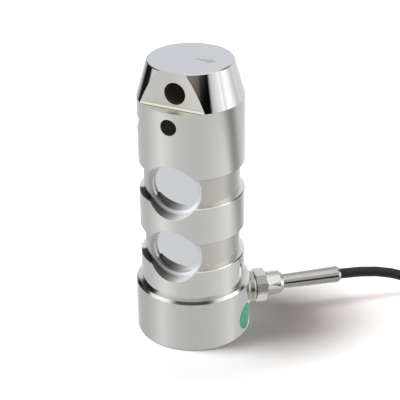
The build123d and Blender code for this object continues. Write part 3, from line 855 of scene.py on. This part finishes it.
# %% Copy and merge the pin
sharp_angle = math.radians(18)
pin_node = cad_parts["pin_body"]
pin_mesh = pin_node.data.copy()
pin_mesh.name = "pin"
pin_shape = bmesh.new()
pin_shape.from_mesh(pin_mesh)
bmesh.ops.remove_doubles(pin_shape, verts=pin_shape.verts, dist=1e-6)
for face in pin_shape.faces:
    face.smooth = True
for edge in pin_shape.edges:
    if len(edge.link_faces) == 2 and edge.calc_face_angle(0) > sharp_angle:
        edge.smooth = False
pin_shape.faces.index_update()
open_edges = [edge for edge in pin_shape.edges if len(edge.link_faces) != 2]
print("pin:", len(pin_shape.verts), "corners,", len(pin_shape.faces), "faces")
print("open edges:", len(open_edges))

# %% [markdown]
# ## Flat faces
# The flat faces are told apart by their place: the end face and its engraved arrow, the nose
# flat and its shelf, the ends of the holes, the keeper slot, the steps of the grooves and the
# rings under the covers. A face counts as lying on a surface within a small slack.

# %% Flat faces
slack = 0.05
near = 0.1
hole_margin = 0.3
rim_depth = 0.5
arrow_reach = 14
level_enough = 0.9


def flat_finish(face):
    """The finish of a face that lies on no surface of revolution."""
    middle = face.calc_center_median() / MM
    away = math.hypot(middle.x, middle.y)
    from_nose_hole = math.hypot(middle.x - nose_hole[0], middle.z - nose_hole[1])
    from_dowel_hole = math.hypot(middle.x - dowel_hole[0], middle.z - dowel_hole[1])
    slot_low, slot_high = keeper_slot_ends
    if middle.z > pin_length - near:
        return face_steel
    if middle.z > pin_length - rim_depth:
        return arrow_paint if away < arrow_reach else edge_steel
    if middle.z > nose_start - near and abs(middle.dot(flat_facing) - flat_offset) < slack:
        return flat_steel
    if middle.z > nose_start - near and face.normal.z > level_enough:
        return shelf_steel
    if from_dowel_hole < dowel_hole_radius + hole_margin:
        return shaded_bore_steel
    if from_nose_hole < nose_hole_radius + hole_margin:
        return shaded_bore_steel
    if slot_low - near < middle.z < slot_high + near and middle.x < near - keeper_slot_offset:
        return flat_steel
    if middle.z < collar_ledge_height + near and away > shank_radius - near:
        return step_steel
    if abs(abs(middle.y) - cover_ledge) < slack:
        return pocket_steel
    if away < head_cavity_radius + 1:
        return cavity_steel
    if face.normal.z > level_enough:
        return ledge_steel
    return groove_steel


print("a face counts as on a surface within", slack, "mm")

# %% [markdown]
# ## Round surfaces
# Each round face is named after the surface of revolution that it lies on, by comparing its
# corners with the lathe profile: a finish and the two ends of a line, each a radius and a
# height. A loop writes the lines round both grooves, with the journal below each. The bored
# walls are given by a radius and the places of their axes.

# %% Surfaces of revolution on the pin
lathe_surfaces = {
    "collar": (collar_steel, (collar_radius, base_chamfer), (collar_radius, collar_height)),
    "collar_slope": (
        slope_edge, (collar_radius, collar_height), (collar_ledge_radius, collar_ledge_height)
    ),
    "base_edge": (shaded_under_steel, (collar_radius - base_chamfer, 0), (collar_radius, base_chamfer)),
    "taper": (taper_steel, (shank_radius, nose_start), (nose_radius, pin_length)),
    "head_cavity": (
        cavity_steel, (head_cavity_radius, cap_thickness), (head_cavity_radius, head_cavity_top)
    ),
    "cap_seat": (cavity_steel, (cap_seat_radius, 0), (cap_seat_radius, cap_thickness)),
}
chamfer_foot = shank_radius - groove_chamfer
journal_foot = collar_ledge_height
for level, height in section_heights.items():
    low, high = height - groove_half, height + groove_half
    journal_top = low - groove_chamfer
    lathe_surfaces[f"journal_below_{level}_groove"] = (
        turned_steel, (shank_radius, journal_foot), (shank_radius, journal_top)
    )
    journal_foot = high + groove_chamfer
    lathe_surfaces[f"{level}_groove"] = (groove_steel, (groove_radius, low), (groove_radius, high))
    lathe_surfaces[f"{level}_groove_lower_edge"] = (
        edge_steel, (shank_radius, journal_top), (chamfer_foot, low)
    )
    lathe_surfaces[f"{level}_groove_upper_edge"] = (
        shaded_under_steel, (chamfer_foot, high), (shank_radius, journal_foot)
    )
lathe_surfaces["journal_below_nose"] = (
    turned_steel, (shank_radius, journal_foot), (shank_radius, nose_start)
)

pocket_axes = [(0, height) for height in section_heights.values()]
bored_walls = {
    "pocket_wall": (pocket_steel, pocket_radius, pocket_axes),
    "cover_seat": (seat_steel, seat_radius, pocket_axes),
    "gauge_cavity": (cavity_steel, gauge_cavity_radius, pocket_axes),
    "nose_hole": (shaded_bore_steel, nose_hole_radius, [nose_hole]),
    "dowel_hole": (shaded_bore_steel, dowel_hole_radius, [dowel_hole]),
}
print("round surfaces:", len(lathe_surfaces), "turned,", len(bored_walls), "bored")

# %% [markdown]
# ## Exact normals
# Knowing the surface does a second job. The corners of its faces get the exact normal of the
# cone or cylinder, so the reflections run straight where long thin triangles would bend
# them. Only the cover seats lean a little outwards, as a seat with a worn edge shades.

# %% Surface of a face
seat_lean = 5.0
same_direction = 0.985


def beside_line(radius, height, start, end):
    """Whether a point of the profile lies on a line of it, in millimetres."""
    run = Vector(end) - Vector(start)
    step = Vector((radius, height)) - Vector(start)
    share = step.dot(run) / run.length_squared
    return -0.02 < share < 1.02 and (step - run * share).length < slack


def lathe_normal(point, start, end):
    """The outward normal of a surface of revolution at a point."""
    tilt = Vector((end[1] - start[1], start[0] - end[0])).normalized()
    radial = Vector((point.x, point.y, 0)).normalized()
    return radial * tilt.x + Vector((0, 0, tilt.y))


def bore_normal(point, x, z, lean):
    """The normal of a bored wall, towards its axis and leaning out of the hole."""
    return Vector((x - point.x, math.copysign(lean, point.y), z - point.z)).normalized()


def surface_of(face):
    """The name and the finish of a face's surface, and its normal as a function of a point."""
    middle = face.calc_center_median() / MM
    tests = [vert.co / MM for vert in face.verts] + [middle]
    for name, (finish, start, end) in lathe_surfaces.items():
        if all(beside_line(math.hypot(p.x, p.y), p.z, start, end) for p in tests):
            likeness = lathe_normal(middle, start, end).dot(face.normal)
            if abs(likeness) > same_direction:
                turn = math.copysign(1, likeness)
                return name, finish, lambda p: lathe_normal(p, start, end) * turn
    for name, (finish, radius, axes) in bored_walls.items():
        lean = seat_lean if name == "cover_seat" else 0
        for x, z in axes:
            if all(abs(math.hypot(p.x - x, p.z - z) - radius) < slack for p in tests):
                return name, finish, lambda p: bore_normal(p, x, z, lean)
    return "flat", flat_finish(face), None


print("cover seats lean by", seat_lean, "against their radius of", seat_radius)

# %% [markdown]
# ## The pin takes its finishes
# Every face is sorted, and the mesh gets one material slot for each finish. A face without an
# exact normal gets a zero one, which tells Blender to keep its own. Then the new object
# stands in for the CAD node.

# %% Finishes on the pin
surface_counts = {}
corner_normals = {}
for face in pin_shape.faces:
    name, finish, normal_at = surface_of(face)
    surface_counts[name] = surface_counts.get(name, 0) + 1
    face.material_index = pin_finishes.index(finish)
    if normal_at:
        corner_normals[face.index] = [normal_at(vert.co / MM) for vert in face.verts]
pin_mesh.materials.clear()
for finish in pin_finishes:
    pin_mesh.materials.append(finish)
pin_shape.to_mesh(pin_mesh)
pin_shape.free()
loop_normals = []
for polygon in pin_mesh.polygons:
    given = corner_normals.get(polygon.index)
    loop_normals += given or [Vector((0, 0, 0))] * polygon.loop_total
pin_mesh.normals_split_custom_set(loop_normals)
pin = bpy.data.objects.new("pin", pin_mesh)
scene.collection.objects.link(pin)
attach(pin, "root")
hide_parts("pin_body")
print("faces by surface:", dict(sorted(surface_counts.items())))

# %% [markdown]
# ## The gauge covers
# Each gauge pocket is closed by a thin lapped disc, welded in below the ledge. The disc is a
# mirror: what looks like a dark crescent inside it is the pocket's own wall, reflected.

# %% Cover finish
cover_mirror = metal_finish(
    "cover_mirror", (0.71, 0.735, 0.785), 0.02, depth=0.0, uneven=0.01, axis="pocket"
)


def dress(material, *names):
    """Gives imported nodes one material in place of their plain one."""
    for name in names:
        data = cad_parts[name].data
        data.materials.clear()
        data.materials.append(material)
    print(material.name, "on", ", ".join(names))


pocket_names = [f"{side}_{level}" for side in ("front", "rear") for level in section_heights]
dress(cover_mirror, *[f"cover_{name}" for name in pocket_names])

# %% [markdown]
# ## A closed ring
# A few thin rings finish the steelwork: the weld fillet that slopes down to each cover, the
# bead round the gland boss and the bright rim on it. Each is a stack of circles of different
# radius and height, bridged into a closed ring.

# %% Ring helper
ring_sharp_angle = math.radians(35)


def closed_ring(name, profile, matrix, material, segments=96, drop=None):
    """A ring about Z from its closed profile of (radius, height), moved to its place."""
    shape = bmesh.new()
    circles = []
    for radius, height in profile:
        made = bmesh.ops.create_circle(
            shape, segments=segments, radius=radius, matrix=Matrix.Translation((0, 0, height))
        )
        circles.append({edge for vert in made["verts"] for edge in vert.link_edges})
    for first, second in zip(circles, circles[1:] + circles[:1]):
        bmesh.ops.bridge_loops(shape, edges=list(first | second))
    bmesh.ops.recalc_face_normals(shape, faces=shape.faces)
    for vert in shape.verts:
        if drop:
            vert.co.z += drop(vert.co)
        vert.co = matrix @ (vert.co * MM)
    for face in shape.faces:
        face.smooth = True
    for edge in shape.edges:
        edge.smooth = edge.calc_face_angle(0) < ring_sharp_angle
    add_piece(name, shape, material)


print("ring helper ready")

# %% [markdown]
# ## The cover welds
# A weld fillet fills the corner between the pocket's wall and the cover's rim. It is a ring
# of five corners, made upright and then turned a quarter, so that it faces out of its pocket.

# %% Cover welds
weld_inner = seat_radius + 0.02
weld_outer = pocket_radius - 0.04
weld_profile = (
    (weld_inner, 18.50), (weld_outer, 18.50), (weld_outer, 19.20), (12.6, 18.98),
    (weld_inner, 18.62),
)
for side, quarter in (("front", 90), ("rear", -90)):
    for level, height in section_heights.items():
        place = Matrix.Translation((0, 0, height * MM)) @ Matrix.Rotation(
            math.radians(quarter), 4, "X"
        )
        closed_ring(f"cover_weld_{side}_{level}", weld_profile, place, pocket_weld)

# %% [markdown]
# ## The gland's weld and rim
# These two rings lie about the gland's line. The bead has one more step, because it sits on
# the round collar: each of its points drops back by the collar's own curve, and a small sine
# gives it the ripple of a weld pool.

# %% Gland weld and rim
gland_place = Matrix((
    (across.x, 0, outward.x, 0),
    (across.y, 0, outward.y, 0),
    (0, 1, 0, gland_height * MM),
    (0, 0, 0, 1),
))
boss_radius = 7.4
boss_face = collar_radius + 2.1
bead_root = 27.5
ripple_count = 44
ripple_height = 0.05


def lies_on_collar(point):
    """How far the collar's round wall falls back there, with the ripple of the weld pool."""
    wave = math.sin(ripple_count * math.atan2(point.y, point.x))
    ripple = ripple_height * wave * (point.z - bead_root)
    return math.sqrt(collar_radius ** 2 - point.x ** 2) - collar_radius + ripple


bead_profile = ((7.3, 27.4), (8.3, 27.45), (8.2, 27.95), (7.85, 28.35), (7.3, 28.6))
closed_ring("gland_weld", bead_profile, gland_place, weld_steel, 176, lies_on_collar)
rim_profile = (
    (boss_radius - 0.55, boss_face - 0.5), (boss_radius + 0.12, boss_face - 0.5),
    (boss_radius + 0.12, boss_face + 0.25), (boss_radius - 0.1, boss_face + 0.6),
    (boss_radius - 0.55, boss_face + 0.6),
)
closed_ring("boss_rim", rim_profile, gland_place, weld_steel)

# %% [markdown]
# ## The nose's inner corner
# Where the flat meets its shelf the cutter left a small bright slope, and in front of it lies a
# painted shadow line. The slope is a square bar laid on its edge in the corner, so that only
# one of its faces shows. The painted shadow line is a very low dark strip on the shelf.

# %% Nose corner
corner_turn = Matrix.Rotation(-flat_turn, 4, "Z")
slope_steel = metal_finish("slope_steel", (0.84, 0.84, 0.77), 0.15, pattern="scratches")
# Painted shadow: a dark strip stands for the thin shadow in front of the slope.
shadow_line_steel = metal_finish("shadow_line_steel", (0.20, 0.20, 0.15), 0.30, pattern="scratches")


def corner_bar(name, length, sizes, tilt, offset, material):
    """A bar along the flat's inner corner, in millimetres; offset is how far out it lies."""
    shape = bmesh.new()
    size = Matrix.Diagonal((length * MM, sizes[0] * MM, sizes[1] * MM, 1))
    turn = Matrix.Rotation(math.radians(tilt), 4, "X")
    place = Matrix.Translation((0, -offset * MM, nose_start * MM))
    bmesh.ops.create_cube(shape, size=1.0, matrix=corner_turn @ place @ turn @ size)
    add_piece(name, shape, material)


corner_bar("nose_slope", 31.4, (1.1, 1.1), 45, flat_offset, slope_steel)
corner_bar("nose_shadow_line", 30.4, (0.6, 0.08), 0, flat_offset + 1.05, shadow_line_steel)

# %% [markdown]
# ## The load arrow
# The engraved arrow is filled with a grey-green paint that was wiped over its edges, so it
# looks a little larger than the cut. A bar makes the shaft, and a three-sided prism the head.
# The two overlap a little, and the head is a hair thicker, so that their tops don't flicker.

# %% Arrow
arrow_tail, arrow_neck, arrow_tip = 3.1, 8.6, 12.7
shaft_width, head_width = 1.9, 5.0
shaft_thickness, head_thickness = 0.23, 0.24
overlap = 0.3
paint_height = (pin_length - 0.1) * MM
head_length = arrow_tip - arrow_neck

arrow_shape = bmesh.new()
shaft_place = Matrix.Translation(((arrow_tail + arrow_neck + overlap) / 2 * MM, 0, paint_height))
shaft_size = Matrix.Diagonal((
    (arrow_neck + overlap - arrow_tail) * MM, shaft_width * MM, shaft_thickness * MM, 1
))
bmesh.ops.create_cube(arrow_shape, size=1.0, matrix=shaft_place @ shaft_size)
head_place = Matrix.Translation(((arrow_neck + head_length / 3) * MM, 0, paint_height))
head_size = Matrix.Diagonal((
    head_length / 1.5 * MM, head_width / math.sqrt(3) * MM, head_thickness * MM, 1
))
quarter_back = Matrix.Rotation(-math.pi / 2, 4, "Z")
bmesh.ops.create_cone(
    arrow_shape, cap_ends=True, segments=3, radius1=1.0, radius2=1.0, depth=1.0,
    matrix=head_place @ head_size @ quarter_back,
)
print("arrow tip at", round(max(vert.co.x for vert in arrow_shape.verts) / MM, 1), "mm")
add_piece("arrow_fill", arrow_shape, arrow_paint)

# %% [markdown]
# ## Gland finishes
# The gland is nickel-plated brass, a little warmer than the steel. The boss and the nut are
# turned about the gland's own line, and the hexagon takes the same rings, a little coarser.
# The sleeve is a drawn tube with fine lines along it. On the nut and the sleeve only the
# upper side towards the camera shines fully, and painted shade darkens the rest; the hexagon
# has painted shade on part of its front.

# %% Gland
shaded_side = (58, 80, 350, 372)
boss_steel = metal_finish("boss_steel", (0.46, 0.46, 0.39), 0.28, axis="gland")
washer_steel = metal_finish("washer_steel", (0.26, 0.26, 0.22), 0.40, axis="gland")
# Painted shade: the hexagon, the nut and the sleeve are darkened by angle round the gland's line.
hex_nickel = metal_finish(
    "hex_nickel", (0.74, 0.74, 0.69), 0.20, pitch=0.5, axis="gland", uneven=0.10,
    painted_shade=(gland_side_angle, (-14, -4, 30, 36, 0.48), (0.08, 0.07, 0.05)),
)
nut_nickel = metal_finish(
    "nut_nickel", (0.86, 0.86, 0.80), 0.16, axis="gland",
    painted_shade=(gland_side_angle, (*shaded_side, 0.50), (0.10, 0.10, 0.09)),
)
sleeve_nickel = metal_finish(
    "sleeve_nickel", (0.68, 0.68, 0.625), 0.20, pitch=0.5, uneven=0.22, axis="gland",
    pattern="lines", painted_shade=(gland_side_angle, (*shaded_side, 0.45), (0.10, 0.10, 0.09)),
)
dress(boss_steel, "gland_boss")
dress(washer_steel, "gland_washer")
dress(hex_nickel, "gland_body")
dress(nut_nickel, "gland_nut")
dress(sleeve_nickel, "cable_sleeve")

# %% [markdown]
# ## The cap and the board's metal
# The collar's underside is closed by a steel cap with four screws. Above it the circuit board
# stands on brass posts, and its solder posts are tinned.

# %% Cap, screws and posts
cap_steel = metal_finish("cap_steel", (0.68, 0.68, 0.68), 0.22)
screw_steel = metal_finish("screw_steel", (0.62, 0.62, 0.63), 0.25, pitch=0.8)
brass = metal_finish("brass", (0.78, 0.62, 0.32), 0.22, pitch=0.5)
tinned_brass = metal_finish("tinned_brass", (0.80, 0.74, 0.55), 0.30, pitch=0.5)
dress(cap_steel, "head_cap")
dress(screw_steel, "cap_screws", "board_screws")
dress(brass, "board_standoffs")
dress(tinned_brass, "terminal_posts")

# %% [markdown]
# ## Cable, seals and leads
# The soft pieces take their finishes by kind. The cable is satin black, the cores are
# wrapped in pale tape, and each lead keeps the colour that its name gives. The pieces at the
# cable's far end lie beside the picture, so the steel doesn't mirror them.

# %% Cable, seals and leads
jacket = coated_finish("cable_jacket", (0.012, 0.012, 0.018), 0.50, grain=0.6)
rubber = coated_finish("seal_rubber", (0.02, 0.02, 0.02), 0.60, grain=0.8)
tape = coated_finish("core_tape", (0.70, 0.69, 0.64), 0.60, grain=2.5)
boot = coated_finish("boot_sleeve", (0.02, 0.02, 0.022), 0.45, grain=1.2)
enamel = coated_finish("lead_enamel", (0.50, 0.22, 0.08), 0.35, grain=0.8)
cable_curve.materials.append(jacket)
dress(jacket, "cable_inner")
dress(rubber, "cap_seal", "gland_seal")
dress(tape, "core_bundle")
dress(boot, "cable_boot")
dress(enamel, "lead_bundle_front", "lead_bundle_rear")
lead_colours = {
    "lead_red": (0.55, 0.04, 0.03), "lead_black": (0.02, 0.02, 0.02),
    "lead_green": (0.04, 0.30, 0.10), "lead_white": (0.78, 0.78, 0.75),
}
for lead_name, lead_colour in lead_colours.items():
    dress(coated_finish(lead_name, lead_colour, 0.38, grain=0.8), lead_name)
for name in ("cable_boot", *lead_names):
    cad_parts[name].visible_glossy = False

# %% [markdown]
# ## Board, gauges and terminals
# The board is green laminate with blue-grey resistors. A strain gauge is a brown plastic film
# with its metal grid bonded in, and below it sits a small film with the solder pads.

# %% Board, gauges and terminals
laminate = coated_finish(
    "board_laminate", (0.03, 0.22, 0.09), 0.40, grain=2.0, second=(0.05, 0.30, 0.13)
)
lacquer = coated_finish("resistor_lacquer", (0.28, 0.48, 0.64), 0.35, grain=0.9)
film = coated_finish(
    "gauge_film", (0.62, 0.36, 0.09), 0.40, grain=0.5, second=(0.74, 0.50, 0.20)
)
pads = coated_finish("terminal_film", (0.62, 0.42, 0.14), 0.42, grain=0.7)
dress(laminate, "bridge_board")
dress(lacquer, "trim_resistors")
dress(film, *[f"gauge_{name}" for name in pocket_names])
dress(pads, *[f"terminal_{name}" for name in pocket_names])

# %% [markdown]
# ## The label
# The collar carries a round green film label with pale rings and no words. The rings come
# from the distance to the label's own centre. Each ring is a radius, the half width at which
# it begins and the half width at which it is full.

# %% Label
label_rings = ((4.3, 0.75, 0.25), (1.9, 0.6, 0.2))
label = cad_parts["collar_label"]
label_corners = [Vector(corner) for corner in label.bound_box]
label_centre = sum(label_corners, Vector((0, 0, 0))) / len(label_corners)

label_film = blank_material("label_film")
label_tree = label_film.node_tree
label_place = place_on_piece(label_tree)
from_centre = add_node(
    label_tree, "ShaderNodeVectorMath", {0: label_place, 1: tuple(label_centre)},
    operation="SUBTRACT",
).outputs["Vector"]
from_centre = calculate(label_tree, "DIVIDE", length_of(label_tree, from_centre), MM)
ring_share = 0.0
for radius, begins, full in label_rings:
    from_ring = calculate(label_tree, "SUBTRACT", from_centre, radius)
    from_ring = calculate(label_tree, "ABSOLUTE", from_ring)
    one_ring = smooth_step(label_tree, from_ring, begins, full)
    ring_share = calculate(label_tree, "MAXIMUM", ring_share, one_ring)
print_noise = soft_noise(label_tree, label_place, 1500.0, 3.0)
green = blend_colours(label_tree, print_noise, (0.085, 0.94, 0.45, 1), (0.12, 1.0, 0.53, 1))
green = blend_colours(label_tree, ring_share, green, (0.34, 0.97, 0.68, 1))
label_shader = add_node(
    label_tree, "ShaderNodeBsdfPrincipled", {"Base Color": green, "Roughness": 0.45}
)
add_node(label_tree, "ShaderNodeOutputMaterial", {"Surface": label_shader.outputs[0]})
dress(label_film, "collar_label")
print("label centre:", [round(v / MM, 1) for v in label_centre])
